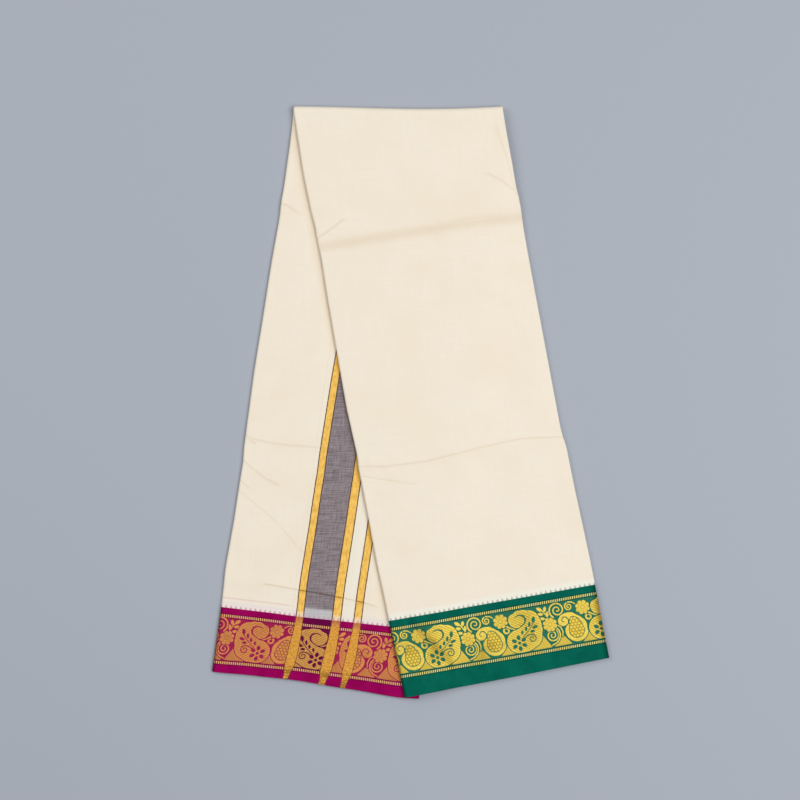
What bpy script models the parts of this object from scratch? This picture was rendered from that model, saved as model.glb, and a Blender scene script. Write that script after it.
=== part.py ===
"""A folded dhoti, lying flat: one long cotton cloth with a green woven border along one selvedge
and a magenta one along the other. It is folded lengthwise into a strip of sixteen panels, and the
strip is doubled over once, a little askew, so that its two halves spread apart below the fold.

Metres, +Z up. The fold is at +Y, the magenta half lies underneath and the green half on top."""

import math
from collections import namedtuple

import bmesh
import bpy
from mathutils import Vector

# Driving sizes of the cloth and of the folded strip
MM = 0.001
CLOTH_LENGTH = 3.65
CLOTH_WIDTH = 1.270
PANELS = 16
LAYER = 0.3 * MM
GREEN_BORDER_LEFT = 83.0 * MM
GREEN_BORDER_RIGHT = 83.5 * MM
MAGENTA_BORDER_LEFT = 72.5 * MM
MAGENTA_BORDER_RIGHT = 79.0 * MM

# The two halves of the strip, seen from above
FOLD_WIDTH = CLOTH_LENGTH / PANELS
TURN_TAKES = 9.5 * MM
FRONT_LEAN = math.radians(10.87)
FRONT_END_TURN = math.radians(10.95)
BACK_LEAN = math.radians(-8.20)
BACK_END_TURN = math.radians(-7.35)
FRONT_LENGTH = 628.5 * MM
BACK_LENGTH = CLOTH_WIDTH - FRONT_LENGTH - TURN_TAKES
FRONT_END_WIDTH = 223.5 * MM
BACK_END_WIDTH = 227.5 * MM
FOLD_SAG = 2.7 * MM
FOLD_SAG_SKEW = 1.5
FOLD_SAG_FADES_OVER = 70.0

# How thick things are
WALL = 1.0 * MM
GAP = 0.3 * MM
STACK = PANELS * LAYER
NOSE = STACK / 2
INNER_NOSE = NOSE - WALL - GAP
UNDER_WALL = STACK - WALL - GAP
LIFT_ON_BACK = STACK + GAP
FOLD_RADIUS = (LIFT_ON_BACK + STACK) / 2
INSIDE_OF_FOLD = 0.4 * MM

# Where the front half comes down off the back half's edge
RAMP_FROM = 4 * MM
RAMP_WIDTH = 28 * MM
FADE_FROM = 8 * MM
FADE_WIDTH = 12 * MM

# How finely each form is drawn
COLUMNS_ON_BACK = 7
COLUMNS_ON_RAMP = 5
COLUMNS_BESIDE = 5
NOSE_STEPS = 4
LOBE_STEPS = 3
FOLD_STEPS = 8
LEAST_SPACING = 6 * MM

# How far short of the lowest selvedge the ones above it stop: the leaf that shows, and those under it
TOP_LEAF_SHORT = 0.4 * MM
LEAF_EDGE = 0.3 * MM
Leaf = namedtuple("Leaf", "top short")
HIDDEN_LEAVES = [
    Leaf(UNDER_WALL, 2.2 * MM),
    Leaf(2.3 * MM, 1.2 * MM),
    Leaf(1.2 * MM, 0.0),
]

# Which folds of the strip show at its right-hand edge, from the floor up
GROOVE = 0.5 * MM
Lobe = namedtuple("Lobe", "low high inset")
FRONT_LOBES = [
    Lobe(0.0, 1.05 * MM, 0.0),
    Lobe(1.05 * MM, NOSE - GAP, 0.4 * MM),
]
BACK_LOBES = [
    Lobe(0.0, 2.3 * MM, 0.0),
    Lobe(2.3 * MM, UNDER_WALL, 0.5 * MM),
]

# One row for each section across a half, in millimetres: how far down each edge it lies from the
# fold, how far each edge bows out there, and how high its crease stands (a trough is negative)
Section = namedtuple("Section", "left_at right_at left_out right_out crease")
FRONT_SECTIONS = [
    Section(0, 0, 0.0, 0.0, 0.0),
    Section(28, 22, 1.2, -0.6, 0.0),
    Section(70, 48, 2.6, -0.9, 0.0),
    Section(112, 84, 2.1, -1.4, 0.1),
    Section(130, 99, 0.8, -0.6, 0.5),
    Section(146, 112, 1.4, -0.8, -0.6),
    Section(164, 130, 0.8, -2.0, 0.2),
    Section(207, 180, 2.4, -2.6, 0.0),
    Section(267, 240, 3.5, -2.8, 0.0),
    Section(330, 301, 4.6, -3.1, 0.0),
    Section(383, 350, 3.0, -3.3, 0.0),
    Section(394, 361, 4.4, -2.6, 0.7),
    Section(405, 371, 4.2, -0.9, -0.2),
    Section(452, 416, 4.0, -0.6, 0.0),
    Section(500, 462, 4.4, 0.6, 0.0),
    Section(536, 496, 3.5, 1.3, 0.0),
]
BACK_SECTIONS = [
    Section(0, 0, 0.0, 0.0, 0.0),
    Section(39, 43, -1.0, 0.0, 0.0),
    Section(84, 98, -1.3, 0.0, 0.0),
    Section(100, 122, -0.6, 0.0, 0.5),
    Section(116, 143, -1.4, 0.0, 0.0),
    Section(165, 192, 0.3, 0.0, 0.0),
    Section(225, 250, 0.9, 0.0, 0.0),
    Section(285, 311, 1.9, 0.0, 0.0),
    Section(346, 373, 1.3, 0.0, 0.0),
    Section(357, 384, 1.1, 0.0, 0.6),
    Section(370, 397, 1.0, 0.0, 0.0),
    Section(387, 416, -0.4, 0.0, 0.4),
    Section(404, 433, 0.1, 0.0, 0.0),
    Section(450, 480, 0.3, 0.0, 0.0),
    Section(502, 538, 2.0, 0.0, 0.0),
    Section(514, 551, 1.6, 0.0, 0.7),
    Section(526, 560, 1.0, 0.0, 0.0),
]
# The same two edges along each border, at the seam and at the selvedge
BorderOut = namedtuple("BorderOut", "seam_left seam_right end_left end_right")
FRONT_BORDER_OUT = BorderOut(3.2, 1.5, 2.0, 1.8)
BACK_BORDER_OUT = BorderOut(0.4, 0.0, 0.0, 0.0)

# How far the seam and the selvedge sag (down the page, in millimetres) at shares of the strip's width
Wave = namedtuple("Wave", "share seam end")
FRONT_WAVES = [
    Wave(0.0, 0.0, 0.0),
    Wave(0.5, 0.3, 0.6),
    Wave(1.0, 0.0, 0.0),
]
BACK_WAVES = [
    Wave(0.0, 0.0, 0.0),
    Wave(0.2, 0.4, -1.6),
    Wave(0.4, 2.0, -2.4),
    Wave(0.65, 1.6, -0.4),
    Wave(0.9, 0.8, 1.8),
    Wave(1.0, 0.0, 0.6),
]
WAVE_FADES_OVER = 25.0

# Colours (linear) of the yarns
CREAM = (0.89, 0.80, 0.66)
GREEN = (0.002, 0.115, 0.082)
MAGENTA = (0.29, 0.003, 0.085)
COTTON_ROUGHNESS = 0.85
BORDER_ROUGHNESS = 0.55


def material(name, colour, roughness):
    made = bpy.data.materials.new(name)
    made.use_nodes = True
    shader = made.node_tree.nodes["Principled BSDF"]
    shader.inputs["Base Color"].default_value = (*colour, 1.0)
    shader.inputs["Roughness"].default_value = roughness
    shader.inputs["Metallic"].default_value = 0.0
    return made


def limited(value, low, high):
    return min(high, max(low, value))


def smooth(share):
    share = limited(share, 0.0, 1.0)
    return share * share * (3 - 2 * share)


class Half:
    """One half of the doubled strip in plan: its long edges, measured from the fold, and its sections."""

    def __init__(self, lean, length, end_width, end_turn, seams, sections, border_out, waves):
        middle = Vector((math.sin(lean), -math.cos(lean))) * length
        across = Vector((math.cos(end_turn), math.sin(end_turn))) * end_width / 2
        self.left_top = Vector((-FOLD_WIDTH / 2, 0.0))
        self.right_top = Vector((FOLD_WIDTH / 2, 0.0))
        self.left_end = middle - across
        self.right_end = middle + across
        self.waves = waves
        long_left = (self.left_end - self.left_top).length / MM
        long_right = (self.right_end - self.right_top).length / MM
        seam_left, seam_right = (long - seam / MM for long, seam in zip((long_left, long_right), seams))
        seam = Section(seam_left, seam_right, border_out.seam_left, border_out.seam_right, 0.0)
        end = Section(long_left, long_right, border_out.end_left, border_out.end_right, 0.0)
        between = Section(*((a + b) / 2 for a, b in zip(seam, end)))
        self.cloth = [*sections, seam]
        self.border = [seam, between, end]

    def edges(self, section):
        """The ends of a section in plan."""
        down_left = (self.left_end - self.left_top).normalized()
        down_right = (self.right_end - self.right_top).normalized()
        out_left = Vector((down_left.y, -down_left.x))
        out_right = Vector((-down_right.y, down_right.x))
        left = self.left_top + (down_left * section.left_at + out_left * section.left_out) * MM
        right = self.right_top + (down_right * section.right_at + out_right * section.right_out) * MM
        return left, right

    def fold_sag(self, section, share):
        """The fold line hangs down between its corners, most to the right, and that fades below it."""
        fade = max(0.0, 1.0 - section.left_at / FOLD_SAG_FADES_OVER)
        return FOLD_SAG * fade * math.sin(math.pi * share**FOLD_SAG_SKEW)

    def border_sag(self, section, share):
        """The seam and the selvedge are a little wavy, and that fades above the seam."""
        seam, end = self.border[0].left_at, self.border[-1].left_at
        a, b = next((a, b) for a, b in zip(self.waves, self.waves[1:]) if share <= b.share)
        mix = smooth((share - a.share) / (b.share - a.share))
        at_seam = a.seam + (b.seam - a.seam) * mix
        at_end = a.end + (b.end - a.end) * mix
        if section.left_at < seam:
            return at_seam * MM * max(0.0, 1.0 - (seam - section.left_at) / WAVE_FADES_OVER)
        return (at_seam + (at_end - at_seam) * (section.left_at - seam) / (end - seam)) * MM

    def point(self, section, across):
        """The plan point that lies `across` metres from the left end of a section."""
        left, right = self.edges(section)
        share = limited(across / (right - left).length, 0.0, 1.0)
        plan = left + (right - left) * (across / (right - left).length)
        plan.y -= self.fold_sag(section, share) + self.border_sag(section, share)
        return plan

    def width(self, section):
        left, right = self.edges(section)
        return (right - left).length


FRONT = Half(
    FRONT_LEAN, FRONT_LENGTH, FRONT_END_WIDTH, FRONT_END_TURN,
    (GREEN_BORDER_LEFT, GREEN_BORDER_RIGHT), FRONT_SECTIONS, FRONT_BORDER_OUT, FRONT_WAVES,
)
BACK = Half(
    BACK_LEAN, BACK_LENGTH, BACK_END_WIDTH, BACK_END_TURN,
    (MAGENTA_BORDER_LEFT, MAGENTA_BORDER_RIGHT), BACK_SECTIONS, BACK_BORDER_OUT, BACK_WAVES,
)


def beyond(plan, top, end):
    """How far a plan point lies to the right of the line from top down to end."""
    down = (end - top).normalized()
    right = Vector((-down.y, down.x))
    return (plan - top).dot(right)


def moved(section, by):
    """The same section, a little further down both edges."""
    return section._replace(left_at=section.left_at + by / MM, right_at=section.right_at + by / MM)


def front_base(plan):
    """Height of the front half's underside: on the back half, then down to the floor beside it."""
    off_edge = beyond(plan, BACK.right_top, BACK.right_end)
    return LIFT_ON_BACK * (1 - smooth((off_edge - RAMP_FROM) / RAMP_WIDTH))


def back_fade(plan):
    """Creases of the back half stop before they run under the front half."""
    uncovered = -beyond(plan, FRONT.left_top, FRONT.left_end)
    return smooth((uncovered - FADE_FROM) / FADE_WIDTH)


def spaced(start, end, count):
    return [start + (end - start) * i / count for i in range(count + 1)]


def crossing(half, section, top, end):
    """How far across a section a line from top to end cuts it."""
    left, right = half.edges(section)
    at_left, at_right = beyond(left, top, end), beyond(right, top, end)
    return (right - left).length * at_left / (at_left - at_right)


def front_columns(section):
    """Places across a front section: on the back half, down the ramp, and on the floor beside it."""
    width = FRONT.width(section)
    cut = crossing(FRONT, section, BACK.right_top, BACK.right_end)
    first, last = NOSE, width - NOSE
    edge = limited(cut, first + 2 * LEAST_SPACING, last - 2 * LEAST_SPACING)
    foot = limited(cut + RAMP_FROM + RAMP_WIDTH, edge + LEAST_SPACING, last - LEAST_SPACING)
    return (
        spaced(first, edge, COLUMNS_ON_BACK)
        + spaced(edge, foot, COLUMNS_ON_RAMP)[1:]
        + spaced(foot, last, COLUMNS_BESIDE)[1:]
    )


def back_columns(section):
    """Places across a back section: where it shows, where its creases fade, and where it is covered."""
    width = BACK.width(section)
    first, last = NOSE, width - NOSE
    cut = crossing(BACK, section, FRONT.left_top, FRONT.left_end)
    covered = limited(cut - FADE_FROM, first + 2 * LEAST_SPACING, last - 2 * LEAST_SPACING)
    shown = limited(covered - FADE_WIDTH, first + LEAST_SPACING, covered - LEAST_SPACING)
    return spaced(first, shown, COLUMNS_BESIDE) + spaced(covered, last, COLUMNS_BESIDE)


def arc(centre, radius, start, end):
    """(across, height) points of an arc in a section, from start to end in degrees."""
    angles = [math.radians(a) for a in spaced(start, end, NOSE_STEPS)]
    return [(centre[0] + radius * math.cos(a), centre[1] + radius * math.sin(a)) for a in angles]


def lobe(edge, low, high, inset):
    """(across, height) points of one folded edge, bulging out between the grooves above and below."""
    shares = spaced(-1.0, 1.0, LOBE_STEPS)
    return [(edge - inset - GROOVE * s * s, low + (high - low) * (s + 1) / 2) for s in shares]


def wall_profile(columns, width, right_is_folded):
    """Inner and outer line of the leaf that shows, curling over the strip's folded edges."""
    left, right = (NOSE, NOSE), (width - NOSE, NOSE)
    inner = arc(left, NOSE - WALL, 180, 90) + [(x, STACK - WALL) for x in columns[1:-1]]
    outer = arc(left, NOSE, 180, 90) + [(x, STACK) for x in columns[1:-1]]
    if right_is_folded:
        inner += arc(right, NOSE - WALL, 90, 0)
        outer += arc(right, NOSE, 90, 0)
    else:
        inner += [(columns[-1], STACK - WALL), (width, STACK - WALL)]
        outer += [(columns[-1], STACK), (width, STACK)]
    return inner, outer


def hidden_profile(columns, width, lobes, top, right_is_folded):
    """Lower and upper line of the layers under it, squashed to `top` high."""
    left, right = (NOSE, NOSE), (width - NOSE, NOSE)
    step = NOSE - GAP
    step_angle = 180 + math.degrees(math.asin(GAP / NOSE))
    lower = arc(left, NOSE, step_angle, 270) + [(x, 0.0) for x in columns[1:-1]]
    upper = [(left[0] - INNER_NOSE, step)] + arc(left, INNER_NOSE, 165, 90)[1:]
    upper += [(x, UNDER_WALL) for x in columns[1:-1]]
    right_lower = [(columns[-1], 0.0)]
    for low, high, inset in lobes:
        right_lower += lobe(width, low, high, inset)
    if right_is_folded:
        right_upper = arc(right, INNER_NOSE, 90, 15)[:-1] + [(right[0] + INNER_NOSE, step)]
    else:
        right_upper = [(columns[-1], UNDER_WALL), right_lower[-1]]
        right_lower = right_lower[:-1]
    right_upper = stretched(right_upper, len(right_lower))
    squash = top / UNDER_WALL
    lower = [(x, z * squash) for x, z in lower + right_lower]
    upper = [(x, z * squash) for x, z in upper + right_upper]
    return lower, upper


def stretched(line, count):
    """The same line with its longest pieces halved until it has count points."""
    line = list(line)
    while len(line) < count:
        lengths = [math.dist(a, b) for a, b in zip(line, line[1:])]
        i = lengths.index(max(lengths))
        middle = tuple((a + b) / 2 for a, b in zip(line[i], line[i + 1]))
        line.insert(i + 1, middle)
    return line


def front_place(section, across, height):
    """A point of the front half. Its folded edges keep their shape where the strip slopes."""
    width = FRONT.width(section)
    plan = FRONT.point(section, across)
    base = front_base(FRONT.point(section, limited(across, NOSE, width - NOSE)))
    swell = section.crease * MM * height / STACK
    return Vector((plan.x, plan.y, base + height + swell))


def back_place(section, across, height):
    width = BACK.width(section)
    plan = BACK.point(section, across)
    fade = back_fade(BACK.point(section, limited(across, NOSE, width - NOSE)))
    swell = section.crease * MM * fade * height / STACK
    return Vector((plan.x, plan.y, height + swell))


def fold_place(angle, across, height):
    """A point of the turn at the top: the same profile, carried round the fold."""
    section = FRONT_SECTIONS[0]
    plan = FRONT.point(section, across)
    radius = FOLD_RADIUS - (STACK - height)
    return Vector((plan.x, plan.y + radius * math.sin(angle), FOLD_RADIUS + radius * math.cos(angle)))


def solid(name, stations, finish):
    """One closed body from a row of (lower line, upper line) stations with equal counts."""
    mesh = bpy.data.meshes.new(name)
    shape = bmesh.new()
    rings = [
        ([shape.verts.new(p) for p in lower], [shape.verts.new(p) for p in upper])
        for lower, upper in stations
    ]
    for (low_a, up_a), (low_b, up_b) in zip(rings, rings[1:]):
        for i in range(len(low_a) - 1):
            shape.faces.new((low_a[i], low_a[i + 1], low_b[i + 1], low_b[i]))
            shape.faces.new((up_a[i], up_b[i], up_b[i + 1], up_a[i + 1]))
        shape.faces.new((low_a[0], low_b[0], up_b[0], up_a[0]))
        shape.faces.new((low_a[-1], up_a[-1], up_b[-1], low_b[-1]))
    for lower, upper in (rings[0], rings[-1]):
        for i in range(len(lower) - 1):
            shape.faces.new((lower[i], upper[i], upper[i + 1], lower[i + 1]))
    bmesh.ops.recalc_face_normals(shape, faces=shape.faces)
    shape.to_mesh(mesh)
    shape.free()
    mesh.materials.append(finish)
    mesh.shade_smooth()
    mesh.set_sharp_from_angle(angle=math.radians(50))
    made = bpy.data.objects.new(name, mesh)
    bpy.context.scene.collection.objects.link(made)
    return made


def station(profile, place, *where):
    lower, upper = profile
    return [place(*where, x, z) for x, z in lower], [place(*where, x, z) for x, z in upper]


def front_walls(sections):
    return [
        station(wall_profile(front_columns(s), FRONT.width(s), True), front_place, s)
        for s in sections
    ]


def back_walls(sections):
    return [
        station(wall_profile(back_columns(s), BACK.width(s), False), back_place, s)
        for s in sections
    ]


def front_hidden(sections, top=UNDER_WALL):
    return [
        station(hidden_profile(front_columns(s), FRONT.width(s), FRONT_LOBES, top, True), front_place, s)
        for s in sections
    ]


def back_hidden(sections, top=UNDER_WALL):
    return [
        station(hidden_profile(back_columns(s), BACK.width(s), BACK_LOBES, top, False), back_place, s)
        for s in sections
    ]


def fold_walls():
    """The turn of the leaf that shows, from underneath up to the top of the front half."""
    profile = wall_profile(front_columns(FRONT_SECTIONS[0]), FOLD_WIDTH, True)
    turns = spaced(180, 0, FOLD_STEPS)[:-1]
    return [station(profile, fold_place, math.radians(turn)) for turn in turns]


def fold_core():
    """The turn of the layers inside it."""
    columns = front_columns(FRONT_SECTIONS[0])
    left, right = (NOSE, NOSE), (FOLD_WIDTH - NOSE, NOSE)
    upper = arc(left, INNER_NOSE, 180, 90) + [(x, UNDER_WALL) for x in columns[1:-1]]
    upper += arc(right, INNER_NOSE, 90, 0)
    innermost = INSIDE_OF_FOLD - FOLD_RADIUS + STACK
    lower = [(x, innermost) for x, _ in upper]
    turns = spaced(180, 0, FOLD_STEPS)
    return [station((lower, upper), fold_place, math.radians(turn)) for turn in turns]


def split_at_seam(half):
    """The sections of the plain cloth and of its border, with the seam's gap between them."""
    cloth = [moved(half.cloth[0], GAP)] + half.cloth[1:-1] + [moved(half.cloth[-1], -GAP / 2)]
    border = [moved(half.border[0], GAP / 2)] + half.border[1:]
    return cloth, border


def ending(sections, short):
    return sections[:-1] + [moved(sections[-1], -short)]


def stepped_end(hidden, sections):
    """The stacked selvedges: each leaf stops short of the one below it."""
    end = sections[-1]
    stations = hidden(ending(sections, HIDDEN_LEAVES[0].short))
    for above, below in zip(HIDDEN_LEAVES, HIDDEN_LEAVES[1:]):
        step = [moved(end, LEAF_EDGE - above.short), moved(end, -below.short)]
        stations += hidden(step, below.top)
    return stations


def main():
    for old in list(bpy.data.objects):
        bpy.data.objects.remove(old)
    cream = material("cream_cotton", CREAM, COTTON_ROUGHNESS)
    green = material("green_border", GREEN, BORDER_ROUGHNESS)
    magenta = material("magenta_border", MAGENTA, BORDER_ROUGHNESS)
    front_cloth, front_border = split_at_seam(FRONT)
    back_cloth, back_border = split_at_seam(BACK)
    whole_front = [FRONT.cloth[0]] + front_cloth[1:]
    made = [
        solid("front_cloth", fold_walls() + front_walls(whole_front), cream),
        solid("front_border", front_walls(ending(front_border, TOP_LEAF_SHORT)), green),
        solid("front_layers", front_hidden(front_cloth), cream),
        solid("front_border_layers", stepped_end(front_hidden, front_border), green),
        solid("fold_layers", fold_core(), cream),
        solid("back_cloth", back_walls(back_cloth), cream),
        solid("back_border", back_walls(ending(back_border, TOP_LEAF_SHORT)), magenta),
        solid("back_layers", back_hidden(back_cloth), cream),
        solid("back_border_layers", stepped_end(back_hidden, back_border), magenta),
    ]
    corners = [v.co for part in made for v in part.data.vertices]
    middle_x = (min(p.x for p in corners) + max(p.x for p in corners)) / 2
    middle_y = (min(p.y for p in corners) + max(p.y for p in corners)) / 2
    dhoti = bpy.data.objects.new("dhoti", None)
    bpy.context.scene.collection.objects.link(dhoti)
    dhoti.location = (-middle_x, -middle_y, 0.0)
    for part in made:
        part.parent = dhoti


main()
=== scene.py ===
"""Looks of the folded dhoti: the sixteen layers of the strip, their weave, stripes and borders.

The cloth is one sheet. Each of its points has a place along its length (u, from the striped end), a
place across it (v) and a distance beyond the seam where the border begins (q), all in millimetres."""

import functools
import math
from collections import namedtuple

import bpy
import numpy as np
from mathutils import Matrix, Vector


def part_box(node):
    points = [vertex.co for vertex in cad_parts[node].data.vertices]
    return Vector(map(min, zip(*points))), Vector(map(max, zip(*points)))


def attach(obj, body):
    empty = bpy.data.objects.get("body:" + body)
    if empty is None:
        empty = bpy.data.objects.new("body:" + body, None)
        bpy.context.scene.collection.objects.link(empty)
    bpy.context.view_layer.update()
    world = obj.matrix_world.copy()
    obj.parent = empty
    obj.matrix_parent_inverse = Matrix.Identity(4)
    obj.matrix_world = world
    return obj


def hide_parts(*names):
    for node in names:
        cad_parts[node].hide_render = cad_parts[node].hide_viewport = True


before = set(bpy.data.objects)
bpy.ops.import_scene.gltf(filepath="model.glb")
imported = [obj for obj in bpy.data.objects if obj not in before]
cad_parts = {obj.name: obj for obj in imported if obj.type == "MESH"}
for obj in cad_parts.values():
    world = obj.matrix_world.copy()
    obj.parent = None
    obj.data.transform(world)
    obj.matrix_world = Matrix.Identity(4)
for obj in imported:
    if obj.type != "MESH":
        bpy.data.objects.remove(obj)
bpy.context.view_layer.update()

# All lengths below are millimetres until a mesh is made
MM = 0.001

# The camera looks straight down from high above, as in the photograph
PICTURE_WIDTH = 870.0
CAMERA_PLACE = (-11.6, 2.9, 3000.0)
CLOTH_TOP = 8.0
SENSOR = 36.0

# The cloth and the folded strip
CLOTH_LENGTH = 3650.0
CLOTH_WIDTH = 1270.0
PANELS = 16
LAYER = 0.3
FOLD_WIDTH = CLOTH_LENGTH / PANELS
STACK = PANELS * LAYER
NOSE = STACK / 2
GAP = 0.3
LIFT_ON_BACK = STACK + GAP
FOLD_RADIUS = (LIFT_ON_BACK + STACK) / 2
# The turn at the top: what it takes of the cloth's width, its outermost layer and the mean of them
TURN_TAKES = 9.5
FRONT_LENGTH = 628.5
BACK_LENGTH = CLOTH_WIDTH - FRONT_LENGTH - TURN_TAKES
FOLD_SAG = 2.7
FOLD_SAG_SKEW = 1.5
FOLD_SAG_FADES_OVER = 70.0
RAMP_FROM = 4.0
RAMP_WIDTH = 44.0
FADE_FROM = 8.0
FADE_WIDTH = 12.0
WAVE_FADES_OVER = 25.0
SWELL_FADES_OVER = 12.0
RELIEF_FADES_OVER = 20.0
EDGE_ROUNDING = 5.0
CREASE_ROUNDING = 3.0
# Painted shadow: the back half is painted warmer and darker beside the front half's edge, where that edge
# casts its shadow
EDGE_PAINTED_SHADOW = 0.5
EDGE_PAINTED_SHADOW_FROM = 3.0
EDGE_PAINTED_SHADOW_WIDTH = 9.0

# A half's edges: places that match down its left and right edge, how far each stands out there, and
# the height of the soft crease between them
Section = namedtuple("Section", "left_at right_at left_out right_out crease", defaults=(0.0, 0.0, 0.0))
FRONT_SECTIONS = [
    Section(0, 0),
    Section(28, 22, 1.2, -0.6),
    Section(70, 48, 2.6, -0.9),
    Section(112, 84, 2.1, -1.4, 0.1),
    Section(130, 99, 0.8, -0.6, 0.5),
    Section(146, 112, 1.4, -0.8, -0.6),
    Section(164, 130, 0.8, -2.0, 0.2),
    Section(207, 180, 2.4, -2.6),
    Section(267, 240, 3.5, -2.8),
    Section(330, 301, 4.6, -3.1),
    Section(383, 350, 3.0, -3.3),
    Section(394, 361, 4.4, -2.6, 0.7),
    Section(405, 371, 4.2, -0.9, -0.2),
    Section(452, 416, 4.0, -0.6),
    Section(500, 462, 4.4, 0.6),
    Section(536, 496, 3.5, 1.3),
]
BACK_SECTIONS = [
    Section(0, 0),
    Section(39, 43, -1.0),
    Section(84, 98, -1.3),
    Section(100, 122, -0.6, crease=0.5),
    Section(116, 143, -1.4),
    Section(165, 192, 0.3),
    Section(225, 250, 0.9),
    Section(285, 311, 1.9),
    Section(346, 373, 1.3),
    Section(357, 384, 1.1, crease=0.6),
    Section(370, 397, 1.0),
    Section(387, 416, -0.4, crease=0.4),
    Section(404, 433, 0.1),
    Section(450, 480, 0.3),
    Section(502, 538, 2.0),
    Section(514, 551, 1.6, crease=0.7),
    Section(526, 560, 1.0),
]
# The same at the border's seam and end, and how far both sag at a share of the width
BorderOut = namedtuple("BorderOut", "seam_left seam_right end_left end_right")
Wave = namedtuple("Wave", "share seam end")

# How the strip was folded: its layers (1 is outermost on the green half) in the order in which the
# cloth runs through them from its striped end, and the folds at its right-hand edge
LAYER_ORDER = [16, 1, 8, 9, 12, 5, 4, 13, 14, 3, 6, 11, 10, 7, 2, 15]
Lobe = namedtuple("Lobe", "first last inset")
RIGHT_LOBES = [Lobe(1, 8, 0.0), Lobe(9, 12, 0.6), Lobe(13, 14, 0.3)]
FREE_END_INSET = {16: 0.4, 15: 0.2}
LOBE_WOBBLE = 0.25
LOBE_WOBBLE_WAVES = (19.0, 7.3)
LOBE_WOBBLE_PHASE = 2.1
LOBE_WOBBLE_POWER = 16
OUTER_TURN_STEPS = 12
INNER_TURN_STEPS = 4
FOLD_STEPS = 16
EDGE_THICKNESS = 0.26
OUTER_LEAF_SHORT = 0.35
SMOOTH_BELOW = math.radians(60)

# How finely the cloth is drawn, in millimetres between points
FACE_STEP = 1.5
BORDER_STEP = 0.5
UNDER_BORDER_STEP = 1.0
HIDDEN_STEP = 6.0
HIDDEN_ROW_STEP = 8.0

# Soft wide unevenness of the faces: its height, and each wave's length, heading and phase
SWELL = 0.16
SWELL_WAVES = [(92.0, 25.0, 0.3), (61.0, 112.0, 1.9), (137.0, -64.0, 4.2), (43.0, 160.0, 2.6)]

# Pressed creases: a line of (share across, distance down from the fold), its depth, its half width
# and how dark the shade painted along it is. A low lip runs along its lower side
Crease = namedtuple("Crease", "line depth width dark")
CREASE_ENDS_OVER = 0.02
CREASE_LIP = 0.6
CREASE_LIP_AT = 1.7
FRONT_CREASES = [
    Crease([(0.0, 151.5), (0.25, 142), (0.57, 131), (0.77, 122.5), (1.0, 118.5)], 0.6, 5.5, 0.5),
    Crease([(0.0, 142), (0.07, 132), (0.14, 121)], 0.28, 1.2, 0.6),
    Crease([(0.875, 70), (0.94, 78.5), (0.985, 88.5), (1.0, 104)], 0.3, 1.4, 0.5),
    Crease([(0.955, 20), (0.98, 58), (0.993, 90)], 0.25, 9.0, 0.3),
    Crease([(0.0, 394), (0.14, 393.5), (0.33, 388), (0.6, 372.5), (0.8, 363), (1.0, 361)], 0.25, 1.0, 0.5),
    Crease([(0.0, 404), (0.13, 409), (0.25, 413)], 0.2, 1.1, 0.4),
    Crease([(0.1, 566), (0.18, 590), (0.25, 612)], 0.5, 9.0, 0.55),
]
BACK_CREASES = [
    Crease([(0.0, 102), (0.03, 104), (0.1, 113.5), (0.17, 124)], 0.3, 1.1, 0.6),
    Crease([(0.0, 359), (0.1, 365), (0.21, 368.5), (0.31, 370), (0.37, 371.5)], 0.25, 1.1, 0.45),
    Crease([(0.0, 357), (0.045, 366)], 0.3, 1.2, 0.6),
    Crease([(0.0, 384), (0.06, 395.5), (0.12, 405), (0.18, 411.5)], 0.3, 1.1, 0.65),
    Crease([(0.0, 406), (0.045, 415)], 0.25, 1.1, 0.5),
    Crease([(0.0, 418), (0.15, 443), (0.21, 455), (0.27, 468), (0.32, 480), (0.39, 494)], 0.25, 1.5, 0.3),
    Crease([(0.2, 521), (0.35, 527), (0.47, 531.5), (0.57, 536), (0.67, 541), (0.78, 549)], 0.3, 0.8, 1.0),
]
# Rows between which the faces are drawn finer, because creases run there
FRONT_FINE_ROWS = [(95.0, 160.0), (386.0, 416.0)]
BACK_FINE_ROWS = [(98.0, 128.0), (354.0, 482.0), (510.0, 532.0)]
FINE_ROW_STEP = 0.7


def smooth(share):
    share = np.clip(share, 0.0, 1.0)
    return share * share * (3 - 2 * share)


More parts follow.
